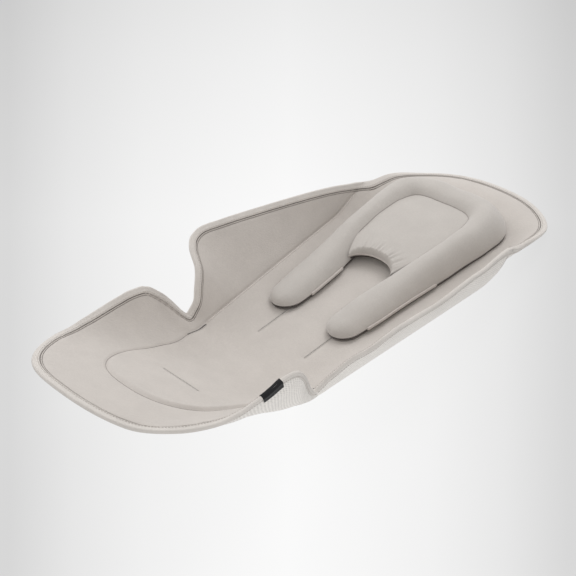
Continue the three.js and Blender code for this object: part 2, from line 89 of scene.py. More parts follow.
def grid_quads(rows, cols):
    """Corners of the squares between rows x cols points."""
    ids = np.arange(rows * cols).reshape(rows, cols)
    return np.stack([ids[:-1, :-1], ids[:-1, 1:], ids[1:, 1:], ids[1:, :-1]], -1).reshape(-1, 4)


def circle(count):
    """Cosines and sines of evenly spaced angles, as columns."""
    turn = np.linspace(0, 2 * math.pi, count, endpoint=False)[:, None]
    return np.cos(turn), np.sin(turn)


# ---- camera ----
camera = bpy.data.objects.new("camera", bpy.data.cameras.new("camera"))
view_right = Vector((0.6937518, 0.70900115, -0.12659308))
view_up = Vector((-0.37076905, 0.50227597, 0.78118446))
view_back = view_right.cross(view_up)
camera.matrix_world = Matrix.Translation(world((942.6, -687.9, 1018.9))) @ Matrix(
    (view_right, view_up, view_back)).transposed().to_4x4()
camera.data.sensor_width = 36
camera.data.lens = 75.76
camera.data.clip_end = 20
bpy.context.scene.collection.objects.link(camera)
bpy.context.scene.camera = camera

# ---- sizes, in mm ----
THICKNESS = 11.4
EDGE_THICKNESS = 4.6                                    # the padding thins out towards the tape
TAPE = 7.0                                              # width of the edge tape on the face
BACK = dict(crease_half=101.5, crease_flare=0.098, wing_end=345)
DISH = dict(flat=0.3, back_power=4.5, seat_power=3.2)
HEAD = dict(half=135, centre=385, length=108, power=2.3)
SEAT = dict(radius=126, slope=math.radians(33.5), half=141, centre=-140, length=127, power=2.35, crown=-15)
PANEL = dict(half=87, centre=-104, length=87, power=2.4)
NOTCH_Y = -11                                           # where the wings are cut free of the seat

# Profiles along the liner, as rows of (y, height or half width).
SEAT_LIFT = [(-267, 0), (-210, 2), (-188, 7.0), (-167, 13.5), (-147, 24), (-128, 35.5), (-108, 48),
             (-90, 59.5), (-72, 71), (-52, 77), (-32, 62), (-11, 25), (0, 18)]
SEAT_HALF = [(-140, 141), (-108, 141), (-72, 138), (-50, 136.5), (-30, 127), (-11, 116.5), (0, 112)]
PANEL_HALF = [(-104, 87), (-60, 91.5), (-25, 98.5), (0, 101.5)]
HEAD_LIFT = [(0, 10.6), (275, 10.6), (320, 21.5), (345, 28.6), (356, 25.0), (375, 20.5), (396, 16.6),
             (431, 10.5), (451, 6), (472, 3), (493, 2)]
# A wing's rim from the hip to the head: (y, x, height).
WING_RIM = [(-11, 116.5, 35.5), (3, 116.5, 47), (13.5, 121.5, 62), (30, 133.5, 82), (43, 156, 98),
            (56, 166.5, 103.6), (72, 169.5, 105.4), (101, 165, 102), (168, 155.5, 89.3), (236, 144.5, 75.4),
            (270, 140, 66.8), (300, 136.8, 57.5), (325, 135.5, 47.5), (345, 135, 39.5)]
# The right wing lies this many degrees further open than the left.
WING_DROOP = [(-11, 0), (2, 9), (12, 13), (28, 12), (43, 6.5), (57, 3), (73, 2.5), (101, 4.5), (168, 9),
              (236, 12.5), (270, 14.5), (300, 14), (325, 9), (345, 0)]


def along(rows, key, column=1):
    """Smooth, never overshooting interpolation through rows of (key, value, ...)."""
    rows = np.asarray(rows, float)
    x, y = rows[:, 0], rows[:, column]
    k = np.clip(np.asarray(key, float), x[0], x[-1])
    h, slope = np.diff(x), np.diff(y) / np.diff(x)
    tangent = np.empty(len(x))
    tangent[0], tangent[-1] = slope[0], slope[-1]
    product, total = slope[:-1] * slope[1:], slope[:-1] + slope[1:]
    tangent[1:-1] = np.where(product > 0, 2 * product / np.where(product > 0, total, 1), 0)
    i = np.clip(np.searchsorted(x, k, side="right") - 1, 0, len(x) - 2)
    t = (k - x[i]) / h[i]
    return ((2 * t**3 - 3 * t**2 + 1) * y[i] + (t**3 - 2 * t**2 + t) * h[i] * tangent[i]
            + (3 * t**2 - 2 * t**3) * y[i + 1] + (t**3 - t**2) * h[i] * tangent[i + 1])


def smoothstep(x, low, high):
    t = np.clip((np.asarray(x, float) - low) / (high - low), 0, 1)
    return t * t * (3 - 2 * t)


def bell(d, width):
    return np.exp(-(np.asarray(d, float) / width) ** 2)


def crease_half(y):
    return BACK["crease_half"] + BACK["crease_flare"] * np.asarray(y, float)


def centre_height(y):
    run = np.maximum(0, -np.asarray(y, float))
    arc = SEAT["radius"] * math.sin(SEAT["slope"])
    rise = SEAT["radius"] - np.sqrt(SEAT["radius"] ** 2 - np.minimum(run, arc) ** 2)
    return THICKNESS + rise + np.maximum(0, run - arc) * math.tan(SEAT["slope"])


def face_height(x, y):
    """The liner's face before padding and seams shape it."""
    x, y = np.broadcast_arrays(np.asarray(x, float), np.asarray(y, float))

    def rise(half):
        return np.maximum(0, np.abs(x) / half - DISH["flat"]) / (1 - DISH["flat"])
    half_seat = np.where(y > SEAT["centre"], along(SEAT_HALF, y), SEAT["half"])
    half_back = np.minimum(crease_half(np.maximum(y, 0)), HEAD["half"])
    seat_power = DISH["back_power"] + (DISH["seat_power"] - DISH["back_power"]) * smoothstep(-y, 5, 75)
    back_lift = along(HEAD_LIFT, y) * rise(half_back) ** DISH["back_power"]
    seat_lift = along(SEAT_LIFT, y) * rise(half_seat) ** seat_power
    to_seat = smoothstep(-y, 0, 7)
    crown = np.where(y < 0, SEAT["crown"] * smoothstep(-y, 190, 267) * (x / SEAT["half"]) ** 2, 0)
    return centre_height(y) + back_lift * (1 - to_seat) + seat_lift * to_seat + crown


# ---- outlines ----
def crowded(count, ease):
    """count + 1 values from 0 to 1, crowded towards both ends by ease."""
    v = np.linspace(0, 1, count + 1)
    return (1 - ease) * v + ease * (1 - np.cos(math.pi * v)) / 2


def resample(points, count, ease=0.0):
    """count + 1 points along a polyline, evenly spaced or crowded towards both ends."""
    points = np.asarray(points, float)
    run = run_along(points)
    return np.stack([np.interp(crowded(count, ease) * run[-1], run, column) for column in points.T], 1)


def rounded(shape, sign, angles):
    """Points of a rounded end: angle 0 is its widest place on +X and 90 degrees its tip."""
    c, s = np.cos(angles), np.sin(angles)
    return np.stack([shape["half"] * np.sign(c) * np.abs(c) ** (2 / shape["power"]),
                     shape["centre"] + sign * shape["length"] * np.abs(s) ** (2 / shape["power"])], 1)


def tapering_side(shape, halves, start, count):
    """Right side of the seat or of its panel, from start at the hip to where it turns to its tip."""
    straight = [(along(halves, y), y) for y in np.linspace(start, shape["centre"] + 1, count)]
    return resample(np.concatenate([straight, rounded(shape, -1, side_angles)]), PANEL_ROWS, 0.15)


def tip(shape, sign):
    return resample(rounded(shape, sign, tip_angles)[::-1], ACROSS, 0.2)


def horseshoe(side, end):
    """A whole outline, from the left of the hip round the tip to the right."""
    return np.concatenate([side * [-1, 1], end[1:], side[::-1][1:]])


def coons(bottom, top, left, right):
    """A patch of points between four edges; bottom and top run left to right, left and right upwards."""
    u = np.linspace(0, 1, len(bottom))[None, :, None]
    v = np.linspace(0, 1, len(left))[:, None, None]
    corners = (1 - v) * ((1 - u) * bottom[0] + u * bottom[-1]) + v * ((1 - u) * top[0] + u * top[-1])
    return (1 - v) * bottom[None] + v * top[None] + (1 - u) * left[:, None] + u * right[:, None] - corners


ACROSS, CREASE_ROWS, HEAD_ROWS, PANEL_ROWS, BORDER_ROWS = 96, 128, 34, 56, 44
CORNER = math.radians(47)                               # where a rounded end turns from side to tip
side_angles = np.linspace(0, CORNER, 60)
tip_angles = np.linspace(CORNER, math.pi - CORNER, 120)

hip = resample([(-BACK["crease_half"], 0), (BACK["crease_half"], 0)], ACROSS, 0.55)
crease_line = np.array([(crease_half(y), y) for y in np.linspace(0, BACK["wing_end"], 200)])
head_straight = [(HEAD["half"], y) for y in np.linspace(353, HEAD["centre"] - 1, 20)]
head_side = np.concatenate([crease_line[-1:], head_straight, rounded(HEAD, 1, side_angles)])
back_side = np.concatenate([resample(crease_line, CREASE_ROWS, 0.25), resample(head_side, HEAD_ROWS)[1:]])
panel_side, panel_tip = tapering_side(PANEL, PANEL_HALF, 0, 80), tip(PANEL, -1)
back_xy = coons(hip, tip(HEAD, 1), back_side * [-1, 1], back_side)
panel_xy = coons(hip, panel_tip, panel_side * [-1, 1], panel_side)

# The border is a band from the panel's outline to the seat's rim; columns run round the U.
BAND = crowded(BORDER_ROWS, 0.55)
panel_loop = horseshoe(panel_side, panel_tip)
rim_loop = horseshoe(tapering_side(SEAT, SEAT_HALF, NOTCH_Y, 120), tip(SEAT, -1))
border_xy = panel_loop[None] * (1 - BAND)[:, None, None] + rim_loop[None] * BAND[:, None, None]


def lifted(xy):
    return np.concatenate([xy, face_height(xy[..., 0], xy[..., 1])[..., None]], -1)


def slumped(grid):
    """The soft seat rim stands a little higher on the right than on the left."""
    x, y = grid[..., 0], grid[..., 1]
    grid[..., 2] += 8.5 * smoothstep(x, 70, 135) * smoothstep(-y, 12, 48) * (1 - smoothstep(-y, 110, 205))
    grid[..., 2] += 8.0 * smoothstep(x, 85, 130) * smoothstep(-y, 125, 185)
    return grid


back_grid, panel_grid, border_grid = lifted(back_xy), slumped(lifted(panel_xy)), slumped(lifted(border_xy))


def wing_grid(sign):
    """Rows run from the hip to the head, columns from the crease to the rim."""
    crease = back_grid[:CREASE_ROWS + 1, -1 if sign > 0 else 0]
    junction = border_grid[:, -1 if sign > 0 else 0]
    rim = np.array([(sign * along(WING_RIM, y), y, along(WING_RIM, y, 2))
                    for y in np.linspace(NOTCH_Y, BACK["wing_end"], 900)])
    rim = resample(rim, CREASE_ROWS, 0.25)
    if sign > 0:
        open_by = np.radians(along(WING_DROOP, rim[:, 1]))
        arm = rim - crease
        rim[:, 0] = crease[:, 0] + arm[:, 0] * np.cos(open_by) + arm[:, 2] * np.sin(open_by)
        rim[:, 2] = crease[:, 2] + arm[:, 2] * np.cos(open_by) - arm[:, 0] * np.sin(open_by)
    grid = crease[:, None] * (1 - BAND)[None, :, None] + rim[:, None] * BAND[None, :, None]
    start = junction - grid[0]
    fade = 1 - smoothstep(np.linspace(0, 1, CREASE_ROWS + 1), 0, 0.16)
    return grid + fade[:, None, None] * start[None]


wing_grids = {"left": wing_grid(-1), "right": wing_grid(1)}

# ---- shaping: padding, seams and dimples ----
SLITS = {}
for side, sign in (("left", -1), ("right", 1)):
    SLITS[f"shoulder_slot_{side}"] = [(sign * 43, 41), (sign * 43.6, 112)]
    SLITS[f"waist_slot_{side}"] = [(sign * 99.3, -31), (sign * 100.3, 3)]
SLITS["crotch_slot"] = [(-34, -117), (34, -117)]


def polyline_distance(points, line):
    """Distance of every point to a polyline, in the dimensions both have."""
    flat, line = points.reshape(-1, points.shape[-1]), np.asarray(line, float)
    best = np.full(len(flat), np.inf)
    for p, q in zip(line[:-1], line[1:]):
        d = q - p
        s = np.clip(((flat - p) @ d) / max(d @ d, 1e-12), 0, 1)
        best = np.minimum(best, np.linalg.norm(flat - p - s[:, None] * d, axis=1))
    return best.reshape(points.shape[:-1])


head_rim = back_grid[CREASE_ROWS:, -1]
head_rim = np.concatenate([head_rim, back_grid[-1, ::-1][1:], back_grid[CREASE_ROWS:, 0][::-1][1:]])
rims = np.concatenate([border_grid[-1], wing_grids["right"][:, -1], head_rim,
                       wing_grids["left"][::-1, -1], border_grid[-1, :1]])
creases = {side: wing_grids[side][:, 0] for side in wing_grids}


def grid_normals(grid):
    """Unit normals of a grid of points, upwards on a flat one."""
    return unit(np.cross(np.gradient(grid, axis=1), np.gradient(grid, axis=0)))


class Welded:
    """All patches of the liner as one surface: points that meet share one number."""

    def __init__(self, grids):
        flat = np.concatenate([g.reshape(-1, 3) for g in grids.values()])
        self.index = np.unique(np.round(flat, 3), axis=0, return_inverse=True)[1].reshape(-1)
        self.count = self.index.max() + 1
        ends = np.cumsum([g.shape[0] * g.shape[1] for g in grids.values()])
        parts = np.split(self.index, ends[:-1])
        self.ids = {name: part.reshape(g.shape[:2]) for (name, g), part in zip(grids.items(), parts)}

    def split(self, values):
        return {name: values[ids] for name, ids in self.ids.items()}

    def lowest(self, values):
        """The lowest value at each point, over all patches that meet there."""
        low = np.full(self.count, np.inf)
        np.minimum.at(low, self.index, np.concatenate([values[name].reshape(-1) for name in self.ids]))
        return self.split(low)

    def normals(self, grids):
        total = np.zeros((self.count, 3))
        for name, ids in self.ids.items():
            g = grids[name]
            face = np.cross(g[:-1, 1:] - g[1:, :-1], g[1:, 1:] - g[:-1, :-1])
            if face[..., 2].sum() < 0:
                face = -face
            for corner in (ids[:-1, :-1], ids[:-1, 1:], ids[1:, 1:], ids[1:, :-1]):
                np.add.at(total, corner.reshape(-1), face.reshape(-1, 3))
        return self.split(unit(total))


patches = {"back": back_grid, "panel": panel_grid, "border": border_grid,
           "wing_left": wing_grids["left"], "wing_right": wing_grids["right"]}
welded = Welded(patches)
base_normals = welded.normals(patches)

rim_distance = {n: polyline_distance(g, rims[::2]) for n, g in patches.items()}
crease_distance = {n: np.minimum(*[polyline_distance(g, line[::3]) for line in creases.values()])
                   for n, g in patches.items()}
panel_distance = {n: polyline_distance(patches[n], border_grid[0][::2]) for n in ("panel", "border")}


def undulation(points, size, seed):
    """Slow, repeatable unevenness between -1 and 1."""
    flat = points.reshape(-1, 3)
    values = [noise.noise(Vector((p[0] / size + seed, p[1] / size - seed, p[2] / size))) for p in flat]
    return np.array(values).reshape(points.shape[:-1])


def relief(name):
    """How far padding, seams and dimples move the face along its normal, in mm."""
    g, rim, crease = patches[name], rim_distance[name], crease_distance[name]
    move = -0.9 * bell(crease, 2.0) + 0.4 * bell(crease - 11, 8)
    move += -0.7 * bell(rim - TAPE - 0.5, 1.1) - 0.6 * bell(rim - TAPE - 3.4, 1.0)
    move += -1.0 * (1 - smoothstep(rim, 0, TAPE))
    if name in panel_distance:
        d = panel_distance[name]
        fade = smoothstep(-g[..., 1], 2, 30)
        move += -1.1 * bell(d, 2.0) * smoothstep(-g[..., 1], -2, 6)
        move += fade * (3.0 * smoothstep(d, 0, 6) - 0.6) if name == "panel" else -fade * 0.6 * bell(d, 9)
    if name == "back":
        move += -7.0 * smoothstep(g[..., 1], 395, 490) * (1 - smoothstep(rim, 2, 38)) - 0.4
    for ends in SLITS.values():
        move += -1.5 * bell(polyline_distance(g[..., :2], ends), 6.5)
    return move + 0.35 * undulation(g, 46, 3.1) + 0.12 * undulation(g, 17, 8.3)


move = welded.lowest({n: relief(n) for n in patches})
top = {n: patches[n] + base_normals[n] * move[n][..., None] for n in patches}


def depth(name):
    """Padding's thickness under each point of the face, in mm: less at the tape and on a narrow wing."""
    thin = EDGE_THICKNESS + (THICKNESS - 0.4 - EDGE_THICKNESS) * smoothstep(rim_distance[name], 0, 26)
    if name.startswith("wing"):
        width = np.linalg.norm(patches[name][:, 0] - patches[name][:, -1], axis=1)
        thin = np.minimum(thin, 2.8 + 0.3 * width[:, None])
    return thin + move[name] * 0.9


THINNEST, CLEAR_OF_FLOOR = 2.5, 0.9
bottom = {}
for n in patches:
    bottom[n] = patches[n] + base_normals[n] * (move[n] - np.maximum(depth(n), THINNEST))[..., None]
    bottom[n][..., 2] = np.maximum(bottom[n][..., 2], CLEAR_OF_FLOOR)
top_normals, bottom_normals = welded.normals(top), welded.normals(bottom)


# ---- mesh building ----
def mesh_object(name, verts, faces, materials, indices, uv=None, normals=None):
    mesh = bpy.data.meshes.new(name)
    mesh.from_pydata([tuple(v) for v in world(verts)], [], [tuple(int(i) for i in f) for f in faces])
    for m in materials:
        mesh.materials.append(m)
    mesh.polygons.foreach_set("material_index", np.asarray(indices, np.int32))
    mesh.polygons.foreach_set("use_smooth", np.full(len(mesh.polygons), True))
    if uv is not None:
        layer = mesh.uv_layers.new(name="UVMap")
        corner = np.empty(len(mesh.loops), np.int32)
        mesh.loops.foreach_get("vertex_index", corner)
        layer.data.foreach_set("uv", np.asarray(uv, np.float32)[corner].reshape(-1))
    mesh.validate()
    if normals is not None:
        mesh.normals_split_custom_set(normals)
    mesh.update()
    obj = bpy.data.objects.new(name, mesh)
    bpy.context.scene.collection.objects.link(obj)
    return obj


def arc_uv(grid):
    """Surface distances across and along a grid, in metres, as its texture coordinates."""
    u, v = np.zeros(grid.shape[:2]), np.zeros(grid.shape[:2])
    u[:, 1:] = np.cumsum(np.linalg.norm(np.diff(grid, axis=1), axis=-1), axis=1)
    v[1:] = np.cumsum(np.linalg.norm(np.diff(grid, axis=0), axis=-1), axis=0)
    u -= u[:, grid.shape[1] // 2][:, None]
    return np.stack([u, v], -1).reshape(-1, 2) / 1000


def slab_object(name, upper, lower, upper_normals, lower_normals, materials):
    """A closed padded panel: upper and lower are grids of points, walled in round their edges."""
    size = upper.shape[0] * upper.shape[1]
    ids = np.arange(size).reshape(upper.shape[:2])
    quads = grid_quads(*ids.shape)
    ring = np.concatenate([ids[0, :-1], ids[:-1, -1], ids[-1, :0:-1], ids[:0:-1, 0]])
    verts = np.concatenate([upper.reshape(-1, 3), lower.reshape(-1, 3)])
    shade = np.concatenate([upper_normals.reshape(-1, 3), -lower_normals.reshape(-1, 3)])
    a, b, c = (verts[quads[:, k]] for k in (0, 1, 2))
    if (np.cross(b - a, c - a) * shade[quads[:, 0]]).sum() < 0:
        quads, ring = quads[:, ::-1], ring[::-1]
    nxt = np.roll(ring, -1)
    walls = np.stack([nxt, ring, ring + size, nxt + size], -1)
    faces = np.concatenate([quads, quads[:, ::-1] + size, walls])
    kinds = [0] * len(quads) + [1] * (len(quads) + len(walls))
    uv = np.concatenate([arc_uv(upper), arc_uv(lower)])
    return mesh_object(name, verts, faces, materials, kinds, uv, [tuple(shade[i]) for f in faces for i in f])


# ---- materials ----
def nodes_of(name):
    material = bpy.data.materials.new(name)
    material.use_nodes = True
    return material, material.node_tree, material.node_tree.nodes["Principled BSDF"]


def set_inputs(node, values):
    for key, value in values.items():
        node.inputs[key].default_value = value


def value_node(tree, kind, operation, *inputs):
    """A node with its inputs linked or set in their order; gives what it puts out."""
    node = tree.nodes.new(kind)
    if operation:
        node.operation = operation
    for socket, value in zip(node.inputs, inputs):
        if isinstance(value, bpy.types.NodeSocket):
            tree.links.new(value, socket)
        else:
            socket.default_value = value
    return node.outputs["Value" if operation == "DOT_PRODUCT" else 0]


def add_node(tree, kind, place, **inputs):
    """A texture node fed with coordinates."""
    node = tree.nodes.new(kind)
    tree.links.new(place, node.inputs["Vector"])
    set_inputs(node, inputs)
    return node


def cloth(name, colour, light, dark, grain, grain_scale, bump, sheen, roughness=0.9, use_uv=True,
          pattern="knit"):
    """A fabric: slow mottling and a fine repeat in its colour, and the repeat again as relief."""
    material, tree, bsdf = nodes_of(name)
    link = tree.links.new
    by_object = tree.nodes.new("ShaderNodeTexCoord").outputs["Object"]
    place = tree.nodes.new("ShaderNodeTexCoord").outputs["UV"] if use_uv else by_object
    mottle = add_node(tree, "ShaderNodeTexNoise", by_object, Scale=28.0, Detail=5.0, Roughness=0.65)
    fibre = add_node(tree, "ShaderNodeTexNoise", place, Scale=grain_scale * 0.8, Detail=3.0, Roughness=0.7)
    ramp = tree.nodes.new("ShaderNodeValToRGB")
    for element, at, tint in zip(ramp.color_ramp.elements, (0.3, 0.72), (dark, light)):
        element.position, element.color = at, (*[min(1, c * tint) for c in colour], 1)
    link(mottle.outputs["Fac"], ramp.inputs["Fac"])
    most, contrast = 1.0, 0.4
    if pattern == "mesh":
        turned = add_node(tree, "ShaderNodeMapping", place, Scale=(1.0, 0.62, 1.0),
                          Rotation=(0, 0, math.radians(45)))
        cells = add_node(tree, "ShaderNodeTexVoronoi", turned.outputs["Vector"], Scale=grain_scale,
                         Randomness=0.12)
        repeat, most, contrast = cells.outputs["Distance"], 0.7, 0.3
    elif pattern == "rib":
        wave = add_node(tree, "ShaderNodeTexWave", place, Scale=grain_scale, Distortion=0.6, Detail=1.0)
        wave.bands_direction = "Y"
        repeat = wave.outputs["Fac"]
    else:
        repeat = add_node(tree, "ShaderNodeTexVoronoi", place, Scale=grain_scale,
                          Randomness=0.8).outputs["Distance"]
    shade = value_node(tree, "ShaderNodeMapRange", None, repeat, 0.0, most, 1 - grain, 1 + grain * contrast)
    mix = tree.nodes.new("ShaderNodeMix")
    mix.data_type, mix.blend_type = "RGBA", "MULTIPLY"
    mix.inputs["Factor"].default_value = 1.0
    link(ramp.outputs["Color"], mix.inputs["A"])
    link(shade, mix.inputs["B"])
    link(mix.outputs["Result"], bsdf.inputs["Base Color"])
    height = value_node(tree, "ShaderNodeMath", "ADD", repeat, fibre.outputs["Fac"])
    bumps = tree.nodes.new("ShaderNodeBump")
    set_inputs(bumps, {"Strength": bump, "Distance": 0.0006})
    link(height, bumps.inputs["Height"])
    link(bumps.outputs["Normal"], bsdf.inputs["Normal"])
    set_inputs(bsdf, {"Roughness": roughness, "Specular IOR Level": 0.25, "Sheen Weight": sheen,
                      "Sheen Roughness": 0.5})
    return material


def yarn(name, colour, sheen=0.3):
    return cloth(name, colour, 1.05, 0.92, 0.08, 900, 0.4, sheen, use_uv=False)


# Dark cloth that stands in for shade: painted shade in the slits and under the head pad, and a painted
# contact shadow round the bolster.
def painted_shade_cloth(name, colour):
    return cloth(name, colour, 1.1, 0.8, 0.1, 400, 0.3, 0.0, use_uv=False)


jersey = cloth("jersey", (0.583, 0.547, 0.512), 1.03, 0.955, 0.05, 420, 0.25, 0.25)
pillow_jersey = cloth("pillow_jersey", (0.533, 0.505, 0.474), 1.03, 0.96, 0.05, 420, 0.22, 0.3, use_uv=False)
spacer_mesh = cloth("spacer_mesh", (0.86, 0.83, 0.79), 1.03, 0.96, 0.30, 300, 1.0, 0.1, pattern="mesh")
edge_tape = cloth("edge_tape", (0.73, 0.695, 0.655), 1.04, 0.95, 0.10, 240, 0.5, 0.15, pattern="rib")
seam_tape = cloth("seam_tape", (0.56, 0.52, 0.485), 1.04, 0.95, 0.08, 300, 0.4, 0.2, use_uv=False)
thread, cord = yarn("thread", (0.60, 0.56, 0.52)), yarn("cord", (0.78, 0.73, 0.69))
# The two dark yarns draw seam lines whose darkness is painted shade in the seams.
seam_shade, painted_shade_thread = yarn("seam_shade", (0.33, 0.30, 0.28)), yarn("painted_shade_thread", (0.17, 0.15, 0.14), 0.2)
# Painted shade for the slits' gaps and for the gap under the head pad.
painted_gap_shade = painted_shade_cloth("painted_gap_shade", (0.10, 0.09, 0.085))
# Painted contact shadow round the bolster's foot.
painted_contact_shadow = painted_shade_cloth("painted_contact_shadow", (0.17, 0.155, 0.145))
label_cloth = cloth("label_cloth", (0.012, 0.012, 0.013), 1.3, 0.8, 0.2, 500, 0.5, 0.05, roughness=0.75)
patch_cloth = cloth("patch_cloth", (0.42, 0.385, 0.36), 1.08, 0.85, 0.25, 260, 0.8, 0.1, use_uv=False,
                    pattern="mesh")


# ---- liner ----
def hip_blend(obj):
    """Bakes the piece's placement into its points."""
    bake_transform(obj)


def wing_blend(obj):
    """Bakes the piece's placement into its points."""
    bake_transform(obj)


def liner_piece(name, patch, rows=slice(None)):
    shape = [v[patch][rows] for v in (top, bottom, top_normals, bottom_normals)]
    obj = slab_object(name, *shape, [jersey, spacer_mesh])
    return obj


back_pad = liner_piece("back_pad", "back")
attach(back_pad, "back")
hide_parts("back_face_panel", "back_foam_core", "back_spacer_mesh")
panel_pad = liner_piece("seat_panel_pad", "panel")
hip_blend(panel_pad)
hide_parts("seat_centre_panel", "seat_foam_core")
border_pad = liner_piece("seat_border_pad", "border")
hip_blend(border_pad)
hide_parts("seat_border_panel", "seat_spacer_mesh")

WING_SPLIT = int(CREASE_ROWS * 0.62)
for wing in ("wing_left", "wing_right"):
    for part, rows in (("lower", slice(0, WING_SPLIT + 1)), ("upper", slice(WING_SPLIT, None))):
        piece = liner_piece(f"{wing}_{part}_pad", wing, rows)
        wing_blend(piece)
        if part == "lower":
            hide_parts(f"{wing}_face", f"{wing}_foam", f"{wing}_mesh")


# ---- edge tape ----
def surface_tree(grid):
    quads = [tuple(map(int, q)) for q in grid_quads(*grid.shape[:2])]
    return BVHTree.FromPolygons([Vector(p) for p in grid.reshape(-1, 3)], quads)


face_trees = {n: surface_tree(top[n]) for n in ("back", "panel", "border")}
under_trees = {n: surface_tree(bottom[n]) for n in ("back", "panel", "border")}


def ray(tree, x, y, from_below=False):
    """Where an upright ray meets a surface, the upward normal there, and the square it met."""
    start, way = ((x, y, -50), (0, 0, 1)) if from_below else ((x, y, 400), (0, 0, -1))
    hit, normal, square, _ = tree.ray_cast(Vector(start), Vector(way))
    if hit is None:
        return None, None, None
    return np.array(hit), np.array(normal if normal.z > 0 else -normal), square


def drop(trees, x, y, from_below=False):
    """Point and upward normal of the liner's face, or of its underside, at (x, y)."""
    for tree in trees.values():
        hit, normal, _ = ray(tree, x, y, from_below)
        if hit is not None:
            return hit, normal
    raise ValueError(f"no surface at {x}, {y}")


def station(distance, face, under, face_n, under_n):
    """How to find the face and the underside at any distance inside the rim, on one line across it."""
    order = np.argsort(distance)
    d = distance[order]

    def at(values, where):
        return np.stack([np.interp(where, d, values[order][:, k]) for k in range(3)], -1)
    return lambda where: (at(face, where), at(face_n, where), at(under, where), at(under_n, where))


SHAPED = (rim_distance, top, bottom, top_normals, bottom_normals)


def border_stations():
    return [station(*[v["border"][-26:, k] for v in SHAPED]) for k in range(border_grid.shape[1])]


def wing_stations(side):
    """A line across a wing goes on over the back where the wing is narrower than the tape."""
    wing, edge = f"wing_{side}", slice(-1, -14, -1) if side == "right" else slice(0, 13)
    return [station(*[np.concatenate([v[wing][r], v["back"][r, edge][1:]]) for v in SHAPED])
            for r in range(CREASE_ROWS + 1)]


def head_stations():
    """Lines square to the head end's outline, dropped on the back's face."""
    line = head_rim[:, :2]
    way = unit(np.gradient(line, axis=0))
    depths = np.array([0.0, 2, 4, 6, 8, 10, 12])
    lines = []
    for p, inward in zip(line, np.stack([-way[:, 1], way[:, 0]], 1)):
        spots = []
        for d in np.maximum(depths, 0.25):
            hit, normal, square = ray(face_trees["back"], *(p + inward * d))
            cell = divmod(square, top["back"].shape[1] - 1)
            slab = bottom["back"][cell] - top["back"][cell]
            spots.append((hit, hit + slab, normal, bottom_normals["back"][cell]))
        lines.append(station(depths, *(np.array(column) for column in zip(*spots))))
    return lines


def junction_bell(y, width):
    """1 where a wing's rim meets the head end's, fading along the rim."""
    return bell(y - BACK["wing_end"], width)


def tape_profile(line, reach_face, reach_under, lift, bead=0.25):
    """Closed section of a tape folded over the rim: over the face, round the edge, under the back."""
    p0, n0, q0, _ = (v[0] for v in line(np.array([0.0])))
    bulk = junction_bell(p0[1], 16)
    lift += 0.7 * bulk
    height = np.array([0.0, lift + bead, lift + bead * 0.6, lift, lift, lift, lift])[:, None]

    def reaches(far):
        return np.array([far, far - 0.35, far - 1.3, *np.linspace(far - 3, 0.3, 4)])
    f, fn, _, _ = line(reaches(reach_face))
    _, _, u, un = line(reaches(reach_under))
    p3 = line(np.array([3.0]))[0][0]
    middle, n0 = (p0 + q0) / 2, unit(n0)
    outward = unit((p0 - p3) - n0 * ((p0 - p3) @ n0))
    half = np.linalg.norm(p0 - q0) / 2 + lift
    edge = [middle + outward * (0.3 + 1.8 * bulk + 1.5 * math.cos(a)) + n0 * half * math.sin(a)
            for a in np.radians([62, 32, 0, -32, -62])]
    fi, fin, _, _ = line(np.array([1.5, reach_face - 1.0]))
    _, _, ui, uin = line(np.array([reach_under - 1.0, 1.5]))
    return np.concatenate([f + unit(fn) * height, edge, (u - unit(un) * height)[::-1],
                           ui + unit(uin) * 0.9, fi - unit(fin) * 0.9])


def eased(loops):
    """Sections averaged with their neighbours along the rim, most of all where wing and head meet."""
    middle = loops.mean(1)
    out = np.empty_like(loops)
    for i in range(len(loops)):
        near = np.arange(i - 10, i + 11) % len(loops)
        reach = 2.2 + 8.0 * junction_bell(middle[i, 1], 22)
        share = bell(np.linalg.norm(middle[near] - middle[i], axis=1), reach)
        out[i] = np.tensordot(share / share.sum(), loops[near], axes=1)
    return out


def loft(loops, closed=False):
    """Points and faces through a row of loops, with a cap on both ends unless it closes on itself."""
    loops = np.asarray(loops)
    ids = np.arange(loops.shape[0] * loops.shape[1]).reshape(loops.shape[:2])
    if closed:
        ids = np.concatenate([ids, ids[:1]])
    side = np.roll(ids, -1, axis=1)
    faces = [tuple(q) for q in np.stack([ids[:-1], side[:-1], side[1:], ids[1:]], -1).reshape(-1, 4)]
    caps = [] if closed else [tuple(ids[0][::-1]), tuple(ids[-1])]
    return loops.reshape(-1, 3), faces + caps


def joined_parts(*parts):
    verts, faces = [], []
    for v, f in parts:
        faces += [tuple(i + len(verts) for i in g) for g in f]
        verts.extend(v)
    return np.array(verts), faces


def swept(name, loops, materials, closed=False, extra=None):
    """A closed mesh through a row of loops; extra is (verts, faces) of a second material."""
    loops = np.asarray(loops)
    n, m = loops.shape[:2]
    verts, faces = loft(loops, closed)
    caps = [] if closed else faces[-2:]
    uv = np.stack([np.tile(run_along(loops[n // 2]), n), np.repeat(run_along(loops.mean(1)), m)], -1) / 1000
    kinds = [0] * len(faces)
    if extra is not None:
        kinds += [1] * len(extra[1])
        uv = np.concatenate([uv, extra[0][:, :2] / 1000])
        verts, faces = joined_parts((verts, faces), extra)
    obj = outward_facing(mesh_object(name, verts, faces, materials, kinds, uv))
    rims = {frozenset(pair) for cap in caps for pair in zip(cap, cap[1:] + cap[:1])}
    for edge in obj.data.edges:
        if frozenset(edge.vertices) in rims:
            edge.use_edge_sharp = True
    return obj


def outward_facing(obj):
    shape = bmesh.new()
    shape.from_mesh(obj.data)
    bmesh.ops.recalc_face_normals(shape, faces=shape.faces)
    shape.to_mesh(obj.data)
    shape.free()
    return obj


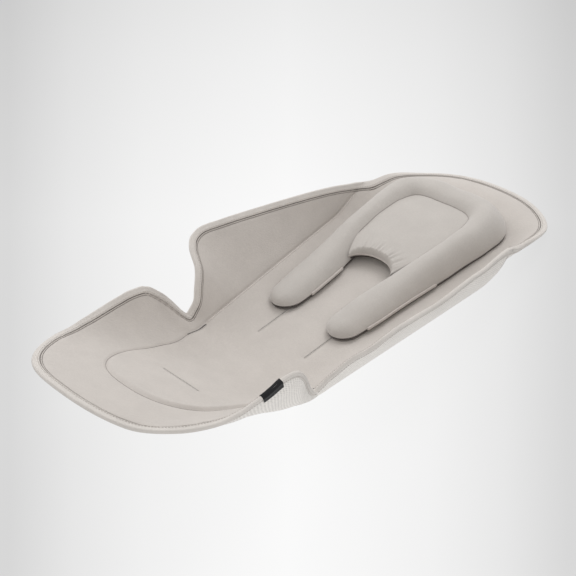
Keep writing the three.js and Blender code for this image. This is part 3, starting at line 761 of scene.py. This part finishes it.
def stitches(path, normals, pitch=3.6, length=2.6, radius=0.32, sink=0.05):
    """A row of short threads along a path that lies on a surface: (verts, faces)."""
    run = run_along(path)
    cos, sin = circle(6)

    def spot(values, at):
        return np.array([np.interp(at, run, values[:, k]) for k in range(3)])
    threads = []
    for start in np.arange(pitch / 2, run[-1] - length, pitch):
        rings = []
        for share, size in ((0, 0.35), (0.18, 1.0), (0.82, 1.0), (1, 0.35)):
            at = start + share * length
            p, n = spot(path, at), unit(spot(normals, at))
            b = unit(np.cross(n, spot(path, at + 0.2) - p))
            height = radius * (0.2 if size < 1 else 1) - sink
            rings.append(p + n * height + (b * cos + n * sin) * radius * size)
        threads.append(loft(rings))
    return joined_parts(*threads)


def welt_profile(line, at, width=0.62, height=0.5):
    """Closed section of the thin piping sewn in beside the tape."""
    p, n = (v[0] for v in line(np.array([at]))[:2])
    inward = unit(line(np.array([at + 1]))[0][0] - p)
    raised = 0.05 + 0.6 * junction_bell(p[1], 16)
    cos, sin = circle(8)
    return p + inward * width * cos + unit(n) * (height * sin + raised)


def seam_on(loops, face=True):
    """Where the tape's stitches run along its sections, and which way is up there."""
    outer, inner = (3, 2) if face else (15, 16)
    path = 0.45 * loops[:, outer] + 0.55 * loops[:, inner]
    up = unit(np.cross(np.gradient(path, axis=0), loops[:, inner] - loops[:, outer]))
    if np.einsum("ij,ij->i", up, loops[:, 3] - loops[:, 15]).mean() * (1 if face else -1) < 0:
        up = -up
    return path, up


def tape_piece(name, loops):
    """The tape over one stretch of rim, with its rows of stitches on both sides."""
    rows = joined_parts(*[stitches(*seam_on(loops, face)) for face in (True, False)])
    return swept(name, loops, [edge_tape, thread], extra=rows)


def welt_piece(name, loops, grooves):
    """Light piping between two lines of stitching, dark as painted shade of the grooves they lie in."""
    return swept(name, loops, [thread, painted_shade_thread], extra=joined_parts(*[loft(line) for line in grooves]))


# All the way round the rim: seat, right wing, head and left wing.
wing_lines = {side: wing_stations(side) for side in ("left", "right")}
rim_lines = [*border_stations(), *wing_lines["right"][1:], *head_stations()[1:],
             *wing_lines["left"][::-1][1:-1]]
SEAT_END = border_grid.shape[1] - 1
RIGHT_END = SEAT_END + CREASE_ROWS
HEAD_END = RIGHT_END + len(head_rim) - 1
tape_loops = eased(np.array([tape_profile(line, TAPE, TAPE - 1, 0.55) for line in rim_lines]))
welt_loops = eased(np.array([welt_profile(line, TAPE + 2.0) for line in rim_lines]))
# Two dark lines in the grooves beside the welt: stitching darkened as painted groove shade.
groove_loops = [eased(np.array([welt_profile(line, TAPE + at, size, 0.25) for line in rim_lines]))
                for at, size in ((0.65, 0.5), (3.1, 0.3))]
stretches = ["seat_edge", "wing_right_lower", "wing_right_upper", "head_edge", "wing_left_upper",
             "wing_left_lower"]
starts = [0, SEAT_END, SEAT_END + WING_SPLIT, RIGHT_END, HEAD_END, HEAD_END + CREASE_ROWS - WING_SPLIT,
          len(rim_lines)]
for name, start, end in zip(stretches, starts, starts[1:]):
    at = np.arange(start, end + 1) % len(rim_lines)
    tape = tape_piece(f"{name}_tape", tape_loops[at])
    welt = welt_piece(f"{name}_welt", welt_loops[at], [groove[at] for groove in groove_loops])
    panel, part = name.rsplit("_", 1)
    for obj in (tape, welt):
        if name == "seat_edge":
            hip_blend(obj)
        elif name == "head_edge":
            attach(obj, "back")
        else:
            wing_blend(obj)
    if part != "upper":
        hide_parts(f"{panel}_binding")


# ---- seam threads on the face ----
def seam_line(name, path, normals, radius, material):
    """A fine line of stitching sunk halfway into a surface, thinner towards both ends."""
    aside, up = unit(np.cross(unit(np.gradient(path, axis=0)), normals)), unit(normals)
    count = np.arange(len(path))
    fit = np.minimum(1, 0.2 + np.minimum(count, count[::-1]) / 6)
    cos, sin = circle(8)
    loops = [p + (a * cos + u * sin) * radius * f for p, a, u, f in zip(path, aside, up, fit)]
    obj = swept(name, loops, [material])
    return obj


for side, column, inside in (("left", 0, 3), ("right", -1, -4)):
    rows = slice(2, CREASE_ROWS - 5)
    line, inner, way = top["back"][rows, column], top["back"][rows, inside], top_normals["back"][rows, column]
    line = line + unit(inner - line) * 1.6 + way * 0.5
    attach(seam_line(f"crease_seam_{side}", line, way, 0.6, cord), "back")

# A dark line along the seat panel's seam: painted shade of the seam's fold.
line, way = top["border"][0, 3:-3], top_normals["border"][0, 3:-3]
hip_blend(seam_line("panel_seam_shade", line + way * 0.1, way, 0.42, seam_shade))


# ---- strap slits ----
def slit(name, gap, body):
    """A bound slit that lies closed: two welts with a dark core between, on the face and beneath; the dark
    core is painted shade in the slit's gap.
    """
    start, end = np.array(SLITS[name], float)
    length = np.linalg.norm(end - start)
    way = (end - start) / length
    aside = np.array([-way[1], way[0]])
    steps = max(24, int(length / 1.5))
    cos, sin = circle(8)
    parts, kinds = [], []
    for trees, below, welt in ((face_trees, False, 0), (under_trees, True, 2)):
        for offset in (-1, 1, 0):
            # Offset 0 is the dark core: painted shade where the slit's gap lies.
            radius, kind, sink = (0.85, welt, 0.15) if offset else (gap + 0.35, 1, 0.35)
            loops = []
            for i in range(steps + 1):
                s = i / steps
                inside = 0 < s < 1
                spread = offset * (gap * math.sqrt(max(0, 1 - (2 * s - 1) ** 4)) + (0.75 if inside else 0.3))
                p, n = drop(trees, *(start + way * length * s + aside * spread), from_below=below)
                n = -n if below else n
                across = unit(np.cross(np.array([*way, 0.0]), n))
                loops.append(p - n * sink + (across * cos + n * sin) * radius * (1 if inside else 0.35))
            parts.append(loft(loops))
            kinds += [kind] * len(parts[-1][1])
    obj = mesh_object(name, *joined_parts(*parts), [pillow_jersey, painted_gap_shade, seam_tape], kinds)
    outward_facing(obj)
    if body == "back":
        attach(obj, "back")
    else:
        hip_blend(obj)
    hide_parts(name.replace("slot", "slot_binding"))


for name, gap, body in (("shoulder_slot_left", 0.28, "back"), ("shoulder_slot_right", 0.28, "back"),
                        ("waist_slot_left", 0.75, "seat"), ("waist_slot_right", 0.75, "seat"),
                        ("crotch_slot", 0.35, "seat")):
    slit(name, gap, body)

# ---- folded label ----
LABEL_FROM, LABEL_TO = -110, -75                        # along the seat's right rim
label_loops = []
for k, (x, y, _) in enumerate(border_grid[-1]):
    if x > 0 and LABEL_FROM < y < LABEL_TO:
        outer, inner = (tape_profile(rim_lines[k], TAPE + 1.6, TAPE + 2.6, lift, bead=0.0)[:19]
                        for lift in (1.7, 0.95))
        label_loops.append(np.concatenate([outer, inner[::-1]]))
label = swept("folded_label", label_loops, [label_cloth])
hip_blend(label)
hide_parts("fold_label")

# ---- head pillow ----
PILLOW_SHIFT = -5                                       # the pillow lies this far off the middle
PILLOW_BASE = 13.4                                      # height of its underside
SEAM_HEIGHT = 4.4                                       # the bolster's band below its seam
NOSE = 25                                               # length over which a leg's end rounds off
# From the bolster's top centre down its right leg: (x, y, half width, top height).
BOLSTER = [(0, 395, 30, 47), (26, 396, 30, 48), (50, 392, 29.5, 49), (69, 378, 29.5, 50),
           (75.5, 348, 26, 50), (74.2, 312, 23.4, 49.5), (72, 284, 22.9, 48.5), (69.3, 258, 23.7, 46.5),
           (66, 234, 24.8, 43.5), (62.2, 208, 26, 40.5), (59, 183, 27.2, 38), (56.4, 152, 27.6, 35.5),
           (54, 122, 26, 33), (52, 88, 22.5, 30.5)]


def on_pillow(obj):
    obj.data.transform(Matrix.Translation((PILLOW_SHIFT / 1000, 0, 0)))
    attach(obj, "pillow")


def spline(points, count):
    """A centripetal Catmull-Rom curve through points: count + 1 points, and where each lies in the list."""
    pts = np.asarray(points, float)
    pts = np.concatenate([[2 * pts[0] - pts[1]], pts, [2 * pts[-1] - pts[-2]]])
    out, place = [], []
    for i in range(count + 1):
        s = min(i / count * (len(pts) - 3), len(pts) - 3 - 1e-9)
        k, f = int(s), s - int(s)
        p = pts[k:k + 4]
        knots = np.concatenate([[0], np.cumsum(np.sqrt(np.linalg.norm(np.diff(p, axis=0), axis=1)))])
        u = knots[1] + f * (knots[2] - knots[1])
        level = list(p)
        for step in (1, 2):
            level = [((knots[j + step] - u) * level[j] + (u - knots[j]) * level[j + 1])
                     / (knots[j + step] - knots[j]) for j in range(len(level) - 1)]
        out.append(((knots[2] - u) * level[0] + (u - knots[1]) * level[1]) / (knots[2] - knots[1]))
        place.append(s)
    return np.array(out), np.array(place)


half_path = [(x, y) for x, y, _, _ in BOLSTER]
full_path = [(-x, y) for x, y in half_path[:0:-1]] + half_path
fine_path, fine_place = spline(full_path, 1200)
fine_run = run_along(fine_path)
bolster_sizes = [(i, width, height) for i, (_, _, width, height) in enumerate(BOLSTER)]


def bolster_station(run):
    """Centre, sideways direction, half width, top height and rounding at a distance along the bolster."""
    behind, c, ahead = (np.array([np.interp(at, fine_run, fine_path[:, k]) for k in range(2)])
                        for at in (run - 1, run, run + 1))
    way = unit(ahead - behind)
    knot = abs(np.interp(run, fine_run, fine_place) - (len(BOLSTER) - 1))
    from_tip = min(run, fine_run[-1] - run)
    round_off = math.sqrt(max(0, 1 - max(0, 1 - from_tip / NOSE) ** 2.2))
    return (c, np.array([way[1], -way[0]]), float(along(bolster_sizes, knot, 1)) * round_off,
            float(along(bolster_sizes, knot, 2)), round_off)


def bolster_surface():
    """Rings of points: the cover domes up from its seam like a cushion, over a low band below it."""
    turn = np.concatenate([np.linspace(0, math.pi, 34), np.linspace(math.pi, 2 * math.pi, 14)[1:-1]])
    cos, sin = np.cos(turn), np.sin(turn)
    across = np.sign(cos) * np.abs(cos) ** np.where(sin > 0, 0.9, 0.78)
    rise = np.where(sin > 0, np.maximum(0, 1 - np.abs(across) ** 2.4) ** 0.75, -np.abs(sin) ** (2 / 3))
    pinch = 1 - 0.03 * bell(sin, 0.07) * (np.abs(cos) > 0.5)
    pinch *= 1 + 0.035 * np.minimum(sin, 0)
    seam_z = PILLOW_BASE + SEAM_HEIGHT
    rings = []
    for run in np.clip(crowded(220, 0.45) * fine_run[-1], 0.15, fine_run[-1] - 0.15):
        c, aside, width, height, round_off = bolster_station(run)
        up, down = (height - seam_z) * round_off ** 0.8, SEAM_HEIGHT * (0.3 + 0.7 * round_off)
        flat = c + aside * (across * width * pinch)[:, None]
        rings.append(np.column_stack([flat, seam_z + rise * np.where(sin > 0, up, down)]))
    return np.array(rings)


def closed_ring(points, count):
    return resample(np.concatenate([points, points[:1]]), count)[:-1]


def ring_way(ring):
    return unit(np.cross(unit(np.roll(ring, -1, axis=0) - np.roll(ring, 1, axis=0)), [0, 0, 1.0]))


def pillow_ring(name, ring, way, out, lift, half_width, half_height, material):
    """A cord all the way round the pillow, moved out and up from a ring of points."""
    cos, sin = circle(8)
    loops = [p + w * (out + half_width * cos) + (lift + half_height * sin) * [[0, 0, 1.0]]
             for p, w in zip(ring, way)]
    on_pillow(swept(name, loops, [material], closed=True))


bolster_points = bolster_surface()
swell = undulation(bolster_points, 38, 5.2) * 0.8 + undulation(bolster_points, 13, 1.7) * 0.22
centre_line = bolster_points.mean(1, keepdims=True)
bolster_points = bolster_points + unit(bolster_points - centre_line) * swell[..., None]
bolster = swept("head_bolster", bolster_points, [pillow_jersey])
on_pillow(bolster)
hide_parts("bolster_cover", "bolster_filling", "pillow_base_panel")

seam_ring = closed_ring(np.concatenate([bolster_points[:, 0], bolster_points[::-1, 33]]), 900)
hub = closed_ring(np.concatenate([centre_line[:, 0], centre_line[::-1, 0]]), 900)
ring_out = ring_way(seam_ring)
ring_out = ring_out * np.sign(np.einsum("ij,ij->i", ring_out, seam_ring - hub))[:, None]
pillow_ring("bolster_piping", seam_ring, ring_out, 0.35, 0.35, 0.6, 0.6, pillow_jersey)
# A dark cord just under the piping: seam line darkened as painted shade below the piping.
pillow_ring("bolster_seam_shade", seam_ring, ring_out, 0.15, -0.45, 0.5, 0.5, painted_shade_thread)
# A dark cord round the bolster's foot: painted contact shadow where the pillow meets the back.
contact_shadow_ring = closed_ring(seam_ring * [1, 1, 0] - ring_out * 1.7, 500)
pillow_ring("bolster_contact_shadow", contact_shadow_ring, ring_way(contact_shadow_ring), 0, 12.4, 1.3, 1.1, painted_contact_shadow)

HEAD_PAD = dict(low=216, bow=21, top=384)
PAD_HALF = [(216, 38), (234, 46), (258, 54), (285, 61), (312, 64), (338, 63), (362, 55), (384, 40)]
PAD_TOP = [(216, 29), (232, 34), (250, 37), (280, 38.5), (330, 39), (384, 37)]


def head_pad(columns=108, rows=110, edge=3.4):
    """The pad's face and underside: a soft dome whose hollowed lower edge is rolled and gathered."""
    u = np.linspace(-1, 1, columns + 1)
    u = (0.75 * u + 0.25 * np.sin(u * math.pi / 2))[None]
    v = np.linspace(0, 1, rows + 1)[:, None]
    v = 0.35 * v + 0.65 * (1 - np.cos(math.pi * v / 2))
    low = HEAD_PAD["low"] + HEAD_PAD["bow"] * (1 - np.abs(u) ** 2.2)
    y = low + (HEAD_PAD["top"] - low) * v
    half = along(PAD_HALF, y)
    x = u * half
    from_low = (y - low) * np.cos(np.arctan(2 * HEAD_PAD["bow"] * u / 36))
    from_side = (1 - np.abs(u)) * half
    roll = np.sqrt(np.maximum(0, 1 - (1 - np.minimum(from_low / edge, 1)) ** 2))
    crown = 2.4 * (1 - np.abs(u) ** 2.4) * np.sin(math.pi * np.minimum(1, 0.2 + v * 0.8)) ** 0.6
    fan = np.arctan2(x, y - HEAD_PAD["low"] + 34)
    gather = np.sin(fan * 40 + 1.3 * np.sin(fan * 13 + 1)) + 0.5 * np.sin(fan * 71 + 2)
    middle, underside = 26.5, 21.5
    height = along(PAD_TOP, y) + crown
    gather = 0.62 * gather * bell(from_low - 6, 9) * smoothstep(from_side, 0, 10)
    up = middle + (height - middle + gather) * roll
    down = middle - (middle - underside) * roll - (underside - PILLOW_BASE) * smoothstep(from_low, 6, 22)
    return np.stack([x, y, up], -1), np.stack([x, y, down], -1)


pad_upper, pad_lower = head_pad()
pad_lower[0] = pad_upper[0] - [0, 0, 0.4]
soft = np.minimum(1, np.arange(pad_upper.shape[0]) / 16)[:, None]
pad_upper[..., 2] += (undulation(pad_upper, 34, 2.2) * 0.6 + undulation(pad_upper, 9, 6.1) * 0.12) * soft
pad = slab_object("head_pad", pad_upper, pad_lower, grid_normals(pad_upper), grid_normals(pad_lower),
                  [pillow_jersey, pillow_jersey])
on_pillow(pad)
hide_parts("head_pad_cover", "head_pad_filling")


def pad_outline():
    """Where the bolster's surface rises out of the pad's, seen from above."""
    pad_tree = surface_tree(pad_upper)
    bolster_tree = surface_tree(np.concatenate([bolster_points, bolster_points[:, :1]], 1))
    line = []
    for turn in np.radians(np.linspace(-52, 232, 240)):
        for reach in np.arange(20, 110, 0.4):
            x, y = reach * math.cos(turn), 300 + reach * math.sin(turn)
            on_pad, on_bolster = (ray(tree, x, y)[0] for tree in (pad_tree, bolster_tree))
            if on_pad is None:
                break
            if on_bolster is not None and on_bolster[2] > on_pad[2]:
                line.append(on_pad)
                break
    return resample(np.array(line), 260)


outline = pad_outline() + [0, 0, 0.25]
upright = np.tile([0, 0, 1.0], (len(outline), 1))
# A dark line where the bolster rises out of the pad: painted shade of that seam.
on_pillow(seam_line("head_pad_seam_shade", outline, upright, 0.55, seam_shade))

cos, sin = circle(10)
hem = [p + 0.95 * np.concatenate([0 * cos, cos, 1.25 * sin], 1) for p in pad_upper[0] + [0, -0.3, -0.6]]
on_pillow(swept("head_pad_hem", hem, [seam_tape]))
# A dark strip below the pad's lower edge: painted shade in the gap between the pad and the back.
pad_gap_shade = [[(x, y + 2.6, z - 0.5), (x, y + 4.2, z - 0.5), (x, y + 5.6, 19.0), (x, y + 4.0, 19.0)]
          for x, y, z in pad_upper[0]]
on_pillow(swept("head_pad_gap_shade", pad_gap_shade, [painted_gap_shade]))


def strap_lip(side, edge, from_y, to_y):
    """The bound lip of a strap opening, a soft tube along the foot of one leg."""
    line = []
    for run in np.linspace(fine_run[-1] / 2, fine_run[-1], 400):
        c, aside, width, _, _ = bolster_station(run)
        outer = aside if aside[0] > 0 else -aside
        x, y = c + outer * (1 if edge == "outer" else -1) * (width * 0.985 + 0.9)
        if from_y <= y <= to_y and c[1] < 300:
            line.append((x if side == "right" else -x, y, PILLOW_BASE + 4.6))
    count = 46
    line = resample(np.array(line), count)
    line[:, 2] += 0.7 * np.sin(np.linspace(0, math.pi, count + 1))
    cos, sin = circle(12)
    loops = []
    for i, (p, w) in enumerate(zip(line, unit(np.gradient(line, axis=0)))):
        end = min(i, count - i)
        size = 2.0 + 0.5 * bell(end, 1.8) if end else 1.5
        loops.append(p + (unit(np.cross(w, [0, 0, 1])) * cos * 0.9 + sin * 1.15 * [[0, 0, 1]]) * size)
    obj = swept(f"soft_lip_{edge}_{side}", loops, [seam_tape])
    on_pillow(obj)
    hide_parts(f"strap_lip_{edge}_{side}")


for side in ("left", "right"):
    strap_lip(side, "inner", 132, 199)
    strap_lip(side, "outer", 124, 247)
    for node in (f"hook_patch_{side}", f"loop_patch_{side}"):
        frame["nodes"][node].data.materials.clear()
        frame["nodes"][node].data.materials.append(patch_cloth)


# ---- lights and floor ----
def area_light(name, position, size, power, target=(0, 0, 0.03)):
    lamp = bpy.data.objects.new(name, bpy.data.lights.new(name, "AREA"))
    lamp.data.shape, lamp.data.size, lamp.data.energy = "DISK", size, power
    lamp.location = position
    lamp.rotation_euler = (Vector(target) - Vector(position)).to_track_quat("-Z", "Y").to_euler()
    bpy.context.scene.collection.objects.link(lamp)


area_light("left", (-2.4, -0.3, 1.6), 1.8, 16.5)
area_light("top", (-0.6, 1.8, 2.2), 1.6, 26)
area_light("fill", (2.2, -1.6, 1.6), 2.4, 4.5)
studio = bpy.data.worlds.new("studio")
studio.use_nodes = True
set_inputs(studio.node_tree.nodes["Background"], {"Color": (1.0, 0.98, 0.97, 1), "Strength": 0.70})
bpy.context.scene.world = studio
bpy.context.scene.view_settings.view_transform = "Standard"

FLOOR_HALF, FLOOR_Z = 30, -0.0015
floor_mesh = bpy.data.meshes.new("floor")
corners = ((-1, -1), (1, -1), (1, 1), (-1, 1))
floor_mesh.from_pydata([(x * FLOOR_HALF, y * FLOOR_HALF, FLOOR_Z) for x, y in corners], [], [(0, 1, 2, 3)])
floor = bpy.data.objects.new("floor", floor_mesh)
bpy.context.scene.collection.objects.link(floor)
floor_material, floor_tree, floor_bsdf = nodes_of("floor_white")
set_inputs(floor_bsdf, {"Base Color": (0.93, 0.93, 0.93, 1), "Roughness": 0.9})

# PLAIN_FLOOR is the floor's glow outside the picture; inside it the glow carries painted shade.
PLAIN_FLOOR = (0.80, 0.80, 0.80)                        # tone of the floor outside the picture
HALF_FIELD = camera.data.sensor_width / 2 / camera.data.lens


def floor_value(kind, operation, *inputs):
    return value_node(floor_tree, kind, operation, *inputs)


def grey_ramp(source, stops):
    ramp = floor_tree.nodes.new("ShaderNodeValToRGB")
    while len(ramp.color_ramp.elements) < len(stops):
        ramp.color_ramp.elements.new(0.5)
    for element, (place, value) in zip(ramp.color_ramp.elements, stops):
        element.position, element.color = place, (value, value, value, 1)
    floor_tree.links.new(source, ramp.inputs["Fac"])
    return ramp.outputs["Color"]


# Painted shade on the glowing floor: brightest behind the middle of the inlay, darker to both sides and to
# the top, set from the camera's place and axes.
eye = camera.matrix_world.translation
nearest = eye.z / (view_back.z + HALF_FIELD * view_up.z)    # how far ahead the picture's lower edge lies
spot = floor_value("ShaderNodeVectorMath", "SUBTRACT", floor_value("ShaderNodeNewGeometry", None), eye)
across, upward, forward = (floor_value("ShaderNodeVectorMath", "DOT_PRODUCT", spot, way)
                           for way in (view_right, view_up, -view_back))
ahead = floor_value("ShaderNodeMath", "MAXIMUM", forward, 0.6 * nearest)
side_share = floor_value("ShaderNodeMath", "ABSOLUTE", floor_value("ShaderNodeMath", "DIVIDE", across, ahead))
side_share = floor_value("ShaderNodeMath", "MULTIPLY", side_share, 1 / HALF_FIELD)
side_painted_shade = grey_ramp(side_share, [(0, 0.965), (0.25, 0.93), (0.5, 0.885), (0.75, 0.80), (0.97, 0.675)])
top_share = floor_value("ShaderNodeMath", "DIVIDE", upward, ahead)
top_share = floor_value("ShaderNodeMath", "MULTIPLY_ADD", top_share, 0.5 / HALF_FIELD, 0.5)
top_painted_shade = grey_ramp(top_share, [(0.0, 1.0), (0.62, 1.0), (0.78, 0.945), (0.9, 0.90), (1.0, 0.85)])
tone = floor_value("ShaderNodeVectorMath", "MULTIPLY", side_painted_shade, top_painted_shade)
in_picture = floor_value("ShaderNodeMapRange", None, forward, 0.7 * nearest, 0.98 * nearest)
change = floor_value("ShaderNodeVectorMath", "SUBTRACT", tone, PLAIN_FLOOR)
tone = floor_value("ShaderNodeVectorMath", "MULTIPLY_ADD", change, in_picture, PLAIN_FLOOR)
# The floor glows: painted light, 94 % emission with 6 % diffuse, so it takes almost no shadow.
glow = floor_value("ShaderNodeEmission", None, tone, 1.0)
surface = floor_value("ShaderNodeMixShader", None, 0.06, glow, floor_bsdf.outputs[0])
floor_tree.links.new(surface, floor_tree.nodes["Material Output"].inputs["Surface"])
floor_mesh.materials.append(floor_material)
